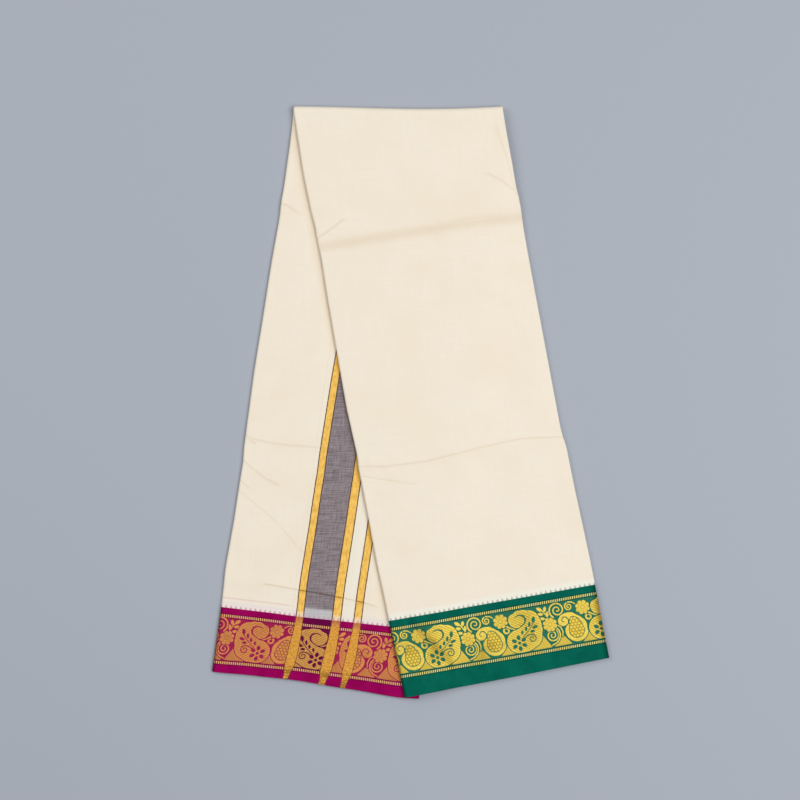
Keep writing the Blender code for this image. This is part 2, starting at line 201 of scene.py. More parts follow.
class Half:
    """One half of the doubled strip in plan. Its rows are named by their distance down the left edge."""

    def __init__(self, lean, length, end_width, end_turn, seams, sections, border_out, waves, creases):
        middle = np.array([math.sin(lean), -math.cos(lean)]) * length
        across = np.array([math.cos(end_turn), math.sin(end_turn)]) * end_width / 2
        self.left_top = np.array([-FOLD_WIDTH / 2, 0.0])
        self.right_top = np.array([FOLD_WIDTH / 2, 0.0])
        self.left_end = middle - across
        self.right_end = middle + across
        long_left = math.dist(self.left_end, self.left_top)
        long_right = math.dist(self.right_end, self.right_top)
        seam_left, seam_right = long_left - seams[0], long_right - seams[1]
        seam = Section(seam_left, seam_right, border_out.seam_left, border_out.seam_right)
        end = Section(long_left, long_right, border_out.end_left, border_out.end_right)
        self.table = np.array([*sections, seam, end])
        self.seam = seam_left
        self.end = long_left
        self.waves = np.array(waves)
        self.creases = creases

    def column(self, t, name, rounding=0.0):
        """One column of the section table at rows t, its corners rounded off."""
        values = self.table[:, Section._fields.index(name)]
        steps = (-1.0, -0.5, 0.0, 0.5, 1.0) if rounding else (0.0,)
        return sum(np.interp(t + step * rounding, self.table[:, 0], values) for step in steps) / len(steps)

    def edges(self, t):
        """x and y of the left edge at rows t, then of the right edge."""
        left_out = self.column(t, "left_out", EDGE_ROUNDING)
        right_out = self.column(t, "right_out", EDGE_ROUNDING)
        places = []
        for top, end, at, out in (
            (self.left_top, self.left_end, t, left_out),
            (self.right_top, self.right_end, self.column(t, "right_at"), -right_out),
        ):
            down_x, down_y = (end - top) / math.dist(end, top)
            places += [top[0] + down_x * at + down_y * out, top[1] + down_y * at - down_x * out]
        return places

    def waved(self, share, name):
        shares, values = self.waves[:, 0], self.waves[:, Wave._fields.index(name)]
        i = np.clip(np.searchsorted(shares, share, side="right") - 1, 0, len(shares) - 2)
        mix = smooth((share - shares[i]) / (shares[i + 1] - shares[i]))
        return values[i] + (values[i + 1] - values[i]) * mix

    def sag(self, t, share):
        fold = FOLD_SAG * np.maximum(0.0, 1 - t / FOLD_SAG_FADES_OVER)
        fold = fold * np.sin(np.pi * share**FOLD_SAG_SKEW)
        at_seam, at_end = self.waved(share, "seam"), self.waved(share, "end")
        above = at_seam * np.maximum(0.0, 1 - (self.seam - t) / WAVE_FADES_OVER)
        below = at_seam + (at_end - at_seam) * (t - self.seam) / (self.end - self.seam)
        return fold + np.where(t < self.seam, above, below)

    def width(self, t):
        left_x, left_y, right_x, right_y = self.edges(t)
        return np.hypot(right_x - left_x, right_y - left_y)

    def plan(self, t, across):
        left_x, left_y, right_x, right_y = self.edges(t)
        share = across / np.hypot(right_x - left_x, right_y - left_y)
        x = left_x + (right_x - left_x) * share
        y = left_y + (right_y - left_y) * share - self.sag(t, np.clip(share, 0, 1))
        return x, y

    def crease_lines(self, t, share):
        """Height of the pressed creases, and how dark the shade painted in their valleys is."""
        along = (1 - share) * t + share * self.column(t, "right_at")
        height, dark = np.zeros_like(t), np.zeros_like(t)
        for crease in self.creases:
            shares, places = zip(*crease.line)
            off = along - np.interp(share, shares, places)
            begun = smooth((share - shares[0]) / CREASE_ENDS_OVER + 1)
            within = begun * smooth((shares[-1] - share) / CREASE_ENDS_OVER + 1)
            valley = np.exp(-((off / crease.width) ** 2))
            lip = np.exp(-((off / crease.width - CREASE_LIP_AT) ** 2))
            height += crease.depth * within * (CREASE_LIP * lip - valley)
            dark = np.maximum(dark, crease.dark * within * valley)
        return height, dark


FRONT = Half(
    math.radians(10.87), FRONT_LENGTH, 223.5, math.radians(10.95), (85.4, 81.3), FRONT_SECTIONS,
    BorderOut(3.2, 1.5, 2.0, 1.8), [Wave(0.0, 0.0, 0.0), Wave(0.5, 0.3, 0.6), Wave(1.0, 0.0, 0.0)],
    FRONT_CREASES,
)
BACK = Half(
    math.radians(-8.20), BACK_LENGTH, 227.5, math.radians(-7.35), (71.4, 74.8), BACK_SECTIONS,
    BorderOut(0.4, 0.0, 0.0, 0.0),
    [
        Wave(0.0, 0.0, 0.0), Wave(0.2, 0.2, -1.6), Wave(0.4, 0.9, -2.4), Wave(0.65, 0.5, -0.4),
        Wave(0.9, 0.2, 1.8), Wave(1.0, 0.0, 0.6),
    ],
    BACK_CREASES,
)


def beyond(x, y, top, end):
    """How far plan points lie to the right of the line from top down to end."""
    down = (end - top) / math.dist(end, top)
    return (x - top[0]) * -down[1] + (y - top[1]) * down[0]


def swell(x, y):
    total = 0.0
    for length, turn, phase in SWELL_WAVES:
        turn = math.radians(turn)
        total = total + np.sin((x * math.cos(turn) + y * math.sin(turn)) * 2 * np.pi / length + phase)
    return SWELL * total / 2


def relief(half, t, across, x, y):
    """Height of the unevenness and creases at points of a face, and the painted shade of its creases and
    rounded edges.
    """
    width = half.width(t)
    share = np.clip(across / width, 0, 1)
    creased, dark = half.crease_lines(t, share)
    inwards = smooth(np.minimum(across, width - across) / SWELL_FADES_OVER)
    # Painted shade along the border's rounded edges, where the cloth turns down away from the light
    rim = (1 - smooth(np.minimum(across / RIM_LEFT, (width - across) / RIM_RIGHT))) * (t > half.seam)
    soft = half.column(t, "crease", CREASE_ROUNDING)
    return soft + creased + swell(x, y) * inwards, np.maximum(dark, rim)


def laid(half, t, across, top, end):
    """A half's points in plan, their relief, and how far right of the line from top to end they lie."""
    x, y = half.plan(t, across)
    near_x, near_y = half.plan(t, np.clip(across, NOSE, half.width(t) - NOSE))
    return x, y, *relief(half, t, across, x, y), beyond(near_x, near_y, top, end)


def front_points(t, across, depth):
    x, y, raised, dark, off_edge = laid(FRONT, t, across, BACK.right_top, BACK.right_end)
    base = LIFT_ON_BACK * (1 - smooth((off_edge - RAMP_FROM) / RAMP_WIDTH))
    fade = smooth(t / RELIEF_FADES_OVER)
    height = STACK - depth
    return np.stack([x, y, base + height + raised * fade * height / STACK], -1), dark * fade


def back_points(t, across, depth):
    x, y, raised, dark, covered = laid(BACK, t, across, FRONT.left_top, FRONT.left_end)
    fade = smooth((-covered - FADE_FROM) / FADE_WIDTH) * smooth(t / RELIEF_FADES_OVER)
    # Painted shadow of the front half's edge on the back half's cloth, above its border
    painted_shadow = EDGE_PAINTED_SHADOW * (1 - smooth((-covered - EDGE_PAINTED_SHADOW_FROM) / EDGE_PAINTED_SHADOW_WIDTH)) * (t < BACK.seam)
    return np.stack([x, y, depth + raised * fade * depth / STACK], -1), np.maximum(dark * fade, painted_shadow)


def fold_points(angle, across, depth):
    """The turn at the top. An angle of 0 is the top of the green half, 180 degrees is underneath."""
    x, y = FRONT.plan(np.zeros_like(across), across)
    radius = FOLD_RADIUS - depth
    z = FOLD_RADIUS + radius * np.cos(angle)
    return np.stack([x, y + radius * np.sin(angle), z], -1), np.zeros_like(across)


def depth_of(layer):
    return (layer - 0.5) * LAYER


# A point of the strip's cross-section: its place is `off` plus `share` of the strip's width
Path = namedtuple("Path", "off share depth u layer panel")


def strip_path(columns):
    """The cross-section from the striped end to the other, and where its outer folds are cut.

    columns(panel) is how many steps there are across a panel."""
    points = []

    def right_end(layer):
        for lobe in RIGHT_LOBES:
            if lobe.first <= layer <= lobe.last:
                radius = (lobe.last - lobe.first + 1) * LAYER / 2
                return -(lobe.inset + radius), (lobe.first - 1) * LAYER + radius
        return -FREE_END_INSET[layer], None

    cuts = []
    for panel, layer in enumerate(LAYER_ORDER):
        to_left = panel % 2 == 0
        count = columns(panel)
        right_off, _ = right_end(layer)
        for i in range(count + 1):
            share = 1 - i / count if to_left else i / count
            off = NOSE * (1 - share) + right_off * share
            points.append((off, share, depth_of(layer), layer, panel))
        if panel == PANELS - 1:
            break
        steps = OUTER_TURN_STEPS if panel < 2 else INNER_TURN_STEPS
        if to_left:
            off_centre, share, centre, side = NOSE, 0.0, NOSE, -1
        else:
            off_centre, centre = right_end(layer)
            share, side = 1.0, 1
        radius = depth_of(layer) - centre
        after = LAYER_ORDER[panel + 1]
        for i in range(1, steps):
            angle = math.pi * i / steps
            off = off_centre + side * abs(radius) * math.sin(angle)
            mixed = layer + (after - layer) * i / steps
            points.append((off, share, centre + radius * math.cos(angle), mixed, panel + i / steps))
            if panel < 2 and 2 * i == steps:
                cuts.append(len(points) - 1)
    off, share, depth, layer, panel = (np.array(c) for c in zip(*points))
    across = off + share * FOLD_WIDTH
    steps = np.hypot(np.diff(across), np.diff(depth))
    u = np.concatenate([[0.0], np.cumsum(steps)])
    return Path(off, share, depth, u, layer, panel), cuts


def pieces_of(columns):
    """The strip's own layers: the striped leaf 16, the outer leaf 1, and all the others."""
    path, (after_striped, after_outer) = strip_path(columns)
    spans = ((0, after_striped + 1), (after_striped, after_outer + 1), (after_outer, None))
    return [Path(*(part[start:stop] for part in path)) for start, stop in spans]


Grid = namedtuple("Grid", "points cloth dark lips")


def spaced(start, end, step):
    return np.linspace(start, end, max(1, math.ceil(abs(end - start) / step)) + 1)


def wobbling(path, t):
    """The folds at the right-hand edge don't lie exactly under each other."""
    weight = np.clip(path.share, 0, 1) ** LOBE_WOBBLE_POWER * LOBE_WOBBLE
    phase = path.panel // 2 * LOBE_WOBBLE_PHASE
    long, short = LOBE_WOBBLE_WAVES
    return weight * (np.sin(t / long + phase) + np.sin(t / short + 2 * phase)) / 2 * (path.panel > 1.5)


def grid_of(half, points_at, path, t, lips):
    """A grid of the cloth. t holds the rows, each a place down the left edge for every column."""
    across = path.off + path.share * half.width(t) - wobbling(path, t)
    depth = np.broadcast_to(path.depth, t.shape)
    points, dark = points_at(t, across, depth)
    share = np.clip(across / half.width(t), 0, 1)
    right_at, right_seam = half.column(t, "right_at"), half.column(half.seam, "right_at")
    q = (1 - share) * (t - half.seam) + share * (right_at - right_seam)
    along = (1 - share) * t + share * right_at
    v = CLOTH_WIDTH - FRONT_LENGTH + (along if half is BACK else -along - TURN_TAKES)
    u = np.broadcast_to(path.u, t.shape)
    return Grid(points, np.stack([u, v, q], -1), dark, lips)


def fold_grid(path, lips):
    angle = np.linspace(math.pi, 0, FOLD_STEPS + 1)[:, None]
    v = CLOTH_WIDTH - FRONT_LENGTH - TURN_TAKES * (1 - angle / math.pi)
    across = path.off + path.share * FOLD_WIDTH
    angle, across, depth, u, v = np.broadcast_arrays(angle, across, path.depth, path.u, v)
    points, dark = fold_points(angle, across, depth)
    return Grid(points, np.stack([u, v, np.full_like(v, -FRONT_LENGTH)], -1), dark, lips)


def joined(above, below):
    """Two grids that share a row."""
    sheets = [np.concatenate([a, b[1:]]) for a, b in zip(above[:3], below)]
    return Grid(*sheets, above.lips + below.lips)


def ends_short(layer):
    """How far each leaf's selvedge stops short of the lowest one."""
    uneven = 0.9 + 0.7 * np.sin(layer * 2.3) + 0.3 * np.sin(layer * 5.1)
    return np.where((layer < 1.5) | (layer > PANELS - 0.5), OUTER_LEAF_SHORT, uneven)


def cloth_rows(half, path, step):
    rows = spaced(0.0, half.seam, step)
    if step == FACE_STEP:
        windows = BACK_FINE_ROWS if half is BACK else FRONT_FINE_ROWS
        outside = [t for t in rows if not any(a <= t <= b for a, b in windows)]
        rows = np.sort(np.concatenate([outside, *(spaced(a, b, FINE_ROW_STEP) for a, b in windows)]))
    return np.broadcast_to(rows[:, None], (len(rows), len(path.u)))


def border_rows(half, path, step):
    rows = np.linspace(0.0, 1.0, math.ceil((half.end - half.seam) / step) + 1)[:, None]
    return half.seam + rows * (half.end - half.seam - ends_short(path.layer))


def with_lips(grid):
    """Thin edges where the cloth ends, so that the leaves look as thick as they are."""
    sheets = grid[:3]
    for lip in grid.lips:
        turned = lip in ("first_column", "last_column")
        if turned:
            sheets = [np.swapaxes(a, 0, 1) for a in sheets]
        if lip == "first_column":
            sheets = [a[::-1] for a in sheets]
        points = sheets[0]
        normal = np.cross(np.gradient(points, axis=0)[-1], np.gradient(points, axis=1)[-1])
        normal /= np.maximum(np.linalg.norm(normal, axis=-1, keepdims=True), 1e-9)
        edge = [points[-1:] + normal * side * EDGE_THICKNESS / 2 for side in (1, -1)]
        held = [np.concatenate([a, a[-1:], a[-1:]]) for a in sheets[1:]]
        sheets = [np.concatenate([points, *edge]), *held]
        if lip == "first_column":
            sheets = [a[::-1] for a in sheets]
        if turned:
            sheets = [np.swapaxes(a, 0, 1) for a in sheets]
    return Grid(*sheets, ())


# The borders' figured band: the length of one repeat, and its finest details. A point outside all
# figures is as far from gold as OUTSIDE, and GOLD_REACH is as far as the meshes tell it
REPEAT = 90.7
GROUND_LINE = 0.9
HATCH_PITCH = 2.4
SCALE_PITCH = 3.7
TONE_SOFT = 0.4
COIL_STEPS = 14
OUTSIDE = -99.0
GOLD_REACH = 3.0

# Where the pattern's repeat begins along the cloth, and how the bars of the striped end displace it
GREEN_PHASE = 89.8
MAGENTA_PHASE = 94.0
Jump = namedtuple("Jump", "u_from u_to shift")
MAGENTA_JUMPS = [Jump(101.0, 141.0, -26.6), Jump(78.0, 101.0, 24.5), Jump(-5.0, 78.0, -12.8)]


class Pen:
    """Draws around one place of the band, in signed distances that are positive inside.

    gold is the distance into the gold, tone how dull the gold is there."""

    def __init__(self, x, y, gold, tone):
        self.x = x
        self.y = y
        self.gold = gold
        self.tone = tone

    def add(self, shape, tone=0.0):
        """Gold, with a line of bare ground all round it."""
        self.gold = np.maximum(np.minimum(self.gold, -(shape + GROUND_LINE)), shape)
        self.tone = np.where(shape > -GROUND_LINE / 2, tone, self.tone)

    def carve(self, shape):
        self.gold = np.minimum(self.gold, -shape)

    def dull(self, shape, tone):
        self.tone = np.maximum(self.tone, tone * np.clip(0.5 + shape / TONE_SOFT, 0, 1))

    def disc(self, x, y, radius):
        return radius - np.hypot(self.x - x, self.y - y)

    def limb(self, places):
        """A round-sided shape that runs through (x, y, half width) places."""
        best = np.full_like(self.x, OUTSIDE)
        for (ax, ay, start), (bx, by, end) in zip(places, places[1:]):
            run = max((bx - ax) ** 2 + (by - ay) ** 2, 1e-6)
            h = np.clip(((self.x - ax) * (bx - ax) + (self.y - ay) * (by - ay)) / run, 0, 1)
            off = np.hypot(self.x - ax - h * (bx - ax), self.y - ay - h * (by - ay))
            best = np.maximum(best, start + (end - start) * h - off)
        return best

    def stroke(self, line, start, end):
        """A line that tapers from one half width to another."""
        last = len(line) - 1
        return self.limb([(x, y, start + (end - start) * i / last) for i, (x, y) in enumerate(line)])

    def coil(self, x, y, radius, turns, heading, width, inner):
        """A scroll that winds inwards from its outer end."""
        return self.stroke(coil_line(x, y, radius, turns, heading, inner), width / 2, width / 3)

    def leaf(self, x, y, heading, length, width):
        """A pointed leaf that grows from (x, y), `width` wide on each side."""
        turn = math.radians(heading)
        along = (self.x - x) * math.cos(turn) + (self.y - y) * math.sin(turn) - length / 2
        aside = np.abs((self.y - y) * math.cos(turn) - (self.x - x) * math.sin(turn))
        radius = (length * length / 4 + width * width) / (2 * width)
        return radius - np.hypot(along, aside + radius - width)


def polar(radius, angle):
    return radius * math.cos(angle), radius * math.sin(angle)


def coil_line(x, y, radius, turns, heading, inner):
    steps = max(6, round(abs(turns) * COIL_STEPS))
    line = []
    for i in range(steps + 1):
        share = i / steps
        angle = math.radians(heading + 360 * turns * share)
        reach = radius * (1 - (1 - inner) * share)
        line.append((x + reach * math.cos(angle), y + reach * math.sin(angle)))
    return line


# The two cone figures, as (x, y, half width) along the middle of each form. (0, 0) is the middle of
# the small one's foot, and the flower of the big one
SMALL_BODY = [
    (0, -0.4, 12.4), (1, 3.2, 10.9), (0.4, 7, 8.7), (-1.5, 11, 6.6), (-4, 14.2, 5.5), (-7.6, 15.1, 5),
    (-11.4, 14.2, 5), (-12.8, 11.8, 5.7),
]
SMALL_FIELD = [(0, -0.5, 8.3), (-0.2, 4, 7.3), (-1, 8.5, 5.6), (-2.2, 11.6, 3.3)]
SMALL_CURL = [
    (-11.6, 5.2), (-7.6, 8.2), (-6.9, 12.2), (-9, 15.3), (-12.1, 15.8), (-14.3, 13.4), (-13.9, 11),
    (-12.2, 10.6),
]
BIG_BODY = [
    (-0.3, 1.9, 12.6), (7, 2.9, 13.2), (12.5, 6, 13.6), (15.5, 12, 12), (15.5, 18, 11.9), (14.5, 22, 11.5),
    (9, 27, 8), (4.5, 29, 6), (1.2, 25.2, 8.6),
]
BIG_HOOK = [
    (-0.5, 28.1, 0.3), (2.7, 29.6, 0.5), (6.2, 29.8, 0.7), (9.6, 28.3, 0.9), (11.1, 24.9, 1.1),
    (10.1, 21.4, 0.8), (7.6, 19, 0.5), (2.7, 16.2, 0.5),
]
BIG_STEM = [(5.2, 5.9), (9.5, 9.2), (13.5, 13), (17, 16.5), (18.7, 19.2)]
# Leaves as (x, y, heading, length, half width)
BIG_LEAVES = [
    (4.4, 8.3, 75, 5.2, 1.3), (9.1, 11.4, 72, 5.4, 1.4), (13.5, 15.2, 76, 6.2, 1.4),
    (18.6, 18.7, 76, 7.6, 1.9), (16.8, 13.6, 14, 6.8, 1.6), (13.8, 10.5, -2, 5.6, 1.5),
]
FLOWER_PETALS = 6
PETAL_FROM = 3.1


def hexagons(x, y, pitch, radius):
    """Round dots in rows that interlock."""
    row = pitch * math.sqrt(3) / 2
    best = np.full_like(x, OUTSIDE)
    for odd in (0, 1):
        dx = (x + odd * pitch / 2 + pitch / 2) % pitch - pitch / 2
        dy = (y + odd * row + row) % (2 * row) - row
        best = np.maximum(best, radius - np.hypot(dx, dy))
    return best


def draw_small_paisley(pen):
    """A plain rim runs round a field of scales."""
    pen.add(pen.limb(SMALL_BODY))
    pen.carve(pen.stroke(SMALL_CURL, 0.6, 0.4))
    field = pen.limb(SMALL_FIELD)
    pen.carve(0.38 - np.abs(field))
    scales = hexagons(pen.x, pen.y, SCALE_PITCH, 0.39 * SCALE_PITCH)
    pen.dull(np.minimum(-scales, field - 0.4), 1.0)


def draw_big_paisley(pen):
    """A hatched body with a flower, a twig and a scroll in it. Its head hangs over to the left."""
    body = pen.limb(BIG_BODY)
    pen.add(body)
    slant = np.abs((pen.x * 0.55 + pen.y * 0.83) % HATCH_PITCH - HATCH_PITCH / 2)
    pen.dull(np.minimum(0.42 - slant, body - 0.9), 0.85)
    pen.carve(pen.limb(BIG_HOOK))
    pen.carve(pen.stroke(BIG_STEM, 0.4, 0.4))
    for leaf in BIG_LEAVES:
        pen.carve(pen.leaf(*leaf))
    scroll = [(7.2, 4.8), (10.8, 6.8), *coil_line(14.8, 2.6, 4.7, -1.35, 92, 0.25)]
    pen.carve(pen.stroke(scroll, 0.6, 0.4))
    pen.carve(pen.disc(0, 0, 1.7))
    for i in range(FLOWER_PETALS):
        heading = 30 + 360 * i / FLOWER_PETALS
        pen.carve(pen.leaf(*polar(PETAL_FROM, math.radians(heading)), heading, 5.8, 2.1))


def draw_rosette(pen, size=7.9, petals=8):
    """A round flower: lobes with a dot in each, notches between them and a ring in the middle."""
    turns = [2 * math.pi * (i + 0.5) / petals for i in range(petals)]
    rim = [pen.disc(*polar(0.71 * size, a), 0.29 * size) for a in turns]
    pen.add(np.maximum(np.maximum.reduce(rim), pen.disc(0, 0, 0.66 * size)), tone=0.2)
    for a in turns:
        notch = [polar(r * size, a + math.pi / petals) for r in (0.42, 0.7, 1.0)]
        pen.dull(pen.stroke(notch, 0.15, 0.5), 1.0)
        pen.dull(pen.disc(*polar(0.64 * size, a), 0.42), 0.8)
    pen.dull(0.32 - np.abs(np.hypot(pen.x, pen.y) - 0.27 * size), 1.0)


def draw_spray(pen):
    stalk = [(3.6, -3.6), (1.4, 0.4), (-0.8, 4.3), (-2.8, 6.6)]
    leaves = [
        (-1.3, 4.8, 142, 7.4, 1.9), (0.6, 3.4, 72, 6.2, 1.7), (-0.8, 1.4, 172, 6.8, 1.7),
        (2.1, -2.3, 68, 6.8, 1.8), (0.6, -4.1, 168, 6.6, 1.6),
    ]
    pen.add(np.maximum.reduce([pen.stroke(stalk, 0.6, 0.5), *(pen.leaf(*leaf) for leaf in leaves)]))


def mound(left, right, height):
    """A triangle at the foot of the band, its corners `left` and `right` of its peak."""
    def draw(pen):
        reach = np.where(pen.x < 0, left, right)
        side = (height * (1 - np.abs(pen.x) / reach) - pen.y) * reach / np.hypot(reach, height)
        pen.add(np.minimum(side, pen.y + 1.0), tone=0.5)
    return draw


def scrolls(*lines):
    """Each line is a coil (x, y, radius, turns, heading, width, inner) or a stroke (points, start, end)."""
    def draw(pen):
        for line in lines:
            pen.add(pen.coil(*line) if len(line) > 3 else pen.stroke(*line))
    return draw


def draw_band(x, y):
    """The gold of the figured band, and its dullness. x runs along the border, y up from the foot.

    Each figure is put at a middle and drawn as far as its reach."""
    gold, tone = np.full_like(x, OUTSIDE), np.zeros_like(x)

    def at(cx, cy, reach, draw):
        dx = (x - cx + REPEAT / 2) % REPEAT - REPEAT / 2
        dy = y - cy
        near = np.hypot(dx, dy) < reach
        pen = Pen(dx[near], dy[near], gold[near], tone[near])
        draw(pen)
        gold[near], tone[near] = pen.gold, pen.tone

    at(71.9, 0.0, 24, mound(14.0, 7.8, 13.6))
    at(1.4, 0.0, 20, mound(9.5, 9.5, 13.0))
    at(31.7, 0.0, 15, mound(8.0, 8.0, 9.6))
    at(82.2, 12.3, 18, scrolls(
        (0, 0, 7.4, -1.9, 65, 1.5, 0.12),
        ([(4.9, 8.1), (7.9, 4.2), (8.6, -0.2), (6.9, -5.2), (2.7, -8.9), (-2.2, -10.6)], 0.8, 0.6),
        ([(6.6, 11.0), (10.4, 7.4), (11.8, 2.2), (10.8, -2.6)], 0.75, 0.5),
    ))
    at(77.4, 35.3, 14, draw_spray)
    at(81.7, 24.3, 11, draw_rosette)
    at(1.1, 38.6, 13, scrolls((0, 0, 9.0, -2.0, 234, 1.6, 0.1)))
    at(14.2, 40.3, 11, scrolls(
        (0, 0, 4.7, 1.6, 70, 1.5, 0.2),
        ([(0.2, 4.8), (4.2, 4.2), (7.6, 1.7)], 0.7, 0.5),
    ))
    at(34.1, 25.8, 15, scrolls(
        (0, 0, 3.4, 0.9, 110, 2.2, 0.6),
        ([(-1.2, 4.2), (-1.6, 7.6)], 0.8, 0.8),
        ([(-0.6, 5.6), (3.6, 2.5), (9.6, -0.4)], 0.95, 0.5),
    ))
    at(29.2, 36.9, 11, draw_rosette)
    at(18.6, 14.0, 32, draw_small_paisley)
    at(45.2, 10.3, 46, draw_big_paisley)
    return np.minimum(gold, y + 0.2), tone


# Each border's rows of dashes and the foot of its figured band, as distances beyond the seam
Band = namedtuple("Band", "top_row foot low_row")
GREEN_BAND = Band(9.6, 58.6, 62.2)
MAGENTA_BAND = Band(8.8, 57.0, 60.2)


def gold_of(grid, band, phase, jumps):
    """The gold distance and its dullness at each point of a border's grid."""
    u, q = grid.cloth[..., 0], grid.cloth[..., 2]
    lean = -LEAN_BELOW * np.maximum(q, 0) ** 2 if jumps else 0.0
    x = u + lean - phase
    for jump in jumps:
        x = x + np.where((u + lean >= jump.u_from) & (u + lean < jump.u_to), jump.shift, 0.0)
    gold, tone = draw_band(x, band.foot - q)
    return np.clip(gold, -GOLD_REACH, GOLD_REACH), tone


# The striped end: gold bars and a grey band, named by their places along the cloth
Bar = namedtuple("Bar", "middle width")
BARS = [Bar(141.2, 6.6), Bar(101.2, 8.0), Bar(78.1, 6.8)]
GREY = Bar(121.4, 32.0)
DARK_THREADS = (93.2, 90.6, 71.6, 69.2, 149.5)
# The bars drift sideways: below the seam with the square of the distance, and evenly far above it
LEAN_BELOW = 0.00113
LEAN_ABOVE = 0.02
LEAN_ABOVE_FROM = 150.0


# Colours (linear)
CREAM = (0.905, 0.82, 0.69)
CREAM_WARM = (0.875, 0.775, 0.62)
TEMPLE_WHITE = (0.885, 0.85, 0.735)
TEMPLE_PINK = (0.85, 0.76, 0.71)
# Tint of the shade painted in creases and beside the front half's edge, which the dark threads share; then
# the deeper painted shade in creases across the stripes
SHADE_AND_THREAD_TINT = (0.72, 0.60, 0.44)
STRIPE_CREASE_SHADE = (0.22, 0.17, 0.12)
GREY_YARN = (0.175, 0.146, 0.155)
GREY_PALE = (0.60, 0.585, 0.60)
BROWN_YARN = (0.10, 0.042, 0.016)
STRIPE_GOLD = (0.93, 0.59, 0.125)
STRIPE_DEEP = (0.80, 0.44, 0.075)
BAR_GOLD = (0.72, 0.34, 0.057)
MAGENTA_DARK = (0.10, 0.002, 0.045)
FLOOR = (0.405, 0.438, 0.498)
WARM_LIGHT = (1.0, 0.99, 0.98)
SKY = (0.97, 0.985, 1.0)
BorderColours = namedtuple("BorderColours", "ground light tooth gold dull dash")
GREEN = BorderColours(
    ground=(0.0004, 0.128, 0.088), light=(0.02, 0.19, 0.12), tooth=(0.30, 0.42, 0.38),
    gold=(0.96, 0.73, 0.12), dull=(0.34, 0.225, 0.022), dash=(0.88, 0.74, 0.22),
)
MAGENTA = BorderColours(
    ground=(0.33, 0.0003, 0.10), light=(0.38, 0.02, 0.075), tooth=(0.62, 0.30, 0.42),
    gold=(0.80, 0.33, 0.09), dull=(0.33, 0.085, 0.045), dash=(0.90, 0.52, 0.2),
)

# Weave and stripes, as places in the cloth
THREAD = 0.42
HALVES_PART_AT = 900.0
GHOST_LINE = (-11.4, -9.8)
GHOST_BEGINS = (146.0, 160.0)
WHITE_PART = (84.0, 94.0)
GREY_PALES = (-11.5, -8.0)
GOLD_PALES = (-7.0, -4.0)
TOOTH_PITCH = 5.35
TOOTH_HEIGHT = 3.4
TOOTH_HALF = 0.3
TEMPLE_WIDTH = 7.0
TEMPLE_SOFT = 1.8
DASH_PITCH = 2.07
DASH_HEIGHT = 2.8
DASH_HALF = 0.23
DASH_SLANT = 0.25
ROW_LINE_OFF = 0.7
RIB_PITCH = 0.6
# Painted shade along the border's rounded edges: how far in it reaches from the left and right edge, and
# the colour that the borders' painted shade, in these rims and in the creases, multiplies by
RIM_LEFT = 4.5
RIM_RIGHT = 8.0
BORDER_PAINTED_SHADE = (0.5, 0.45, 0.42)


def scaled(values, share):
    return tuple(share * value for value in values)


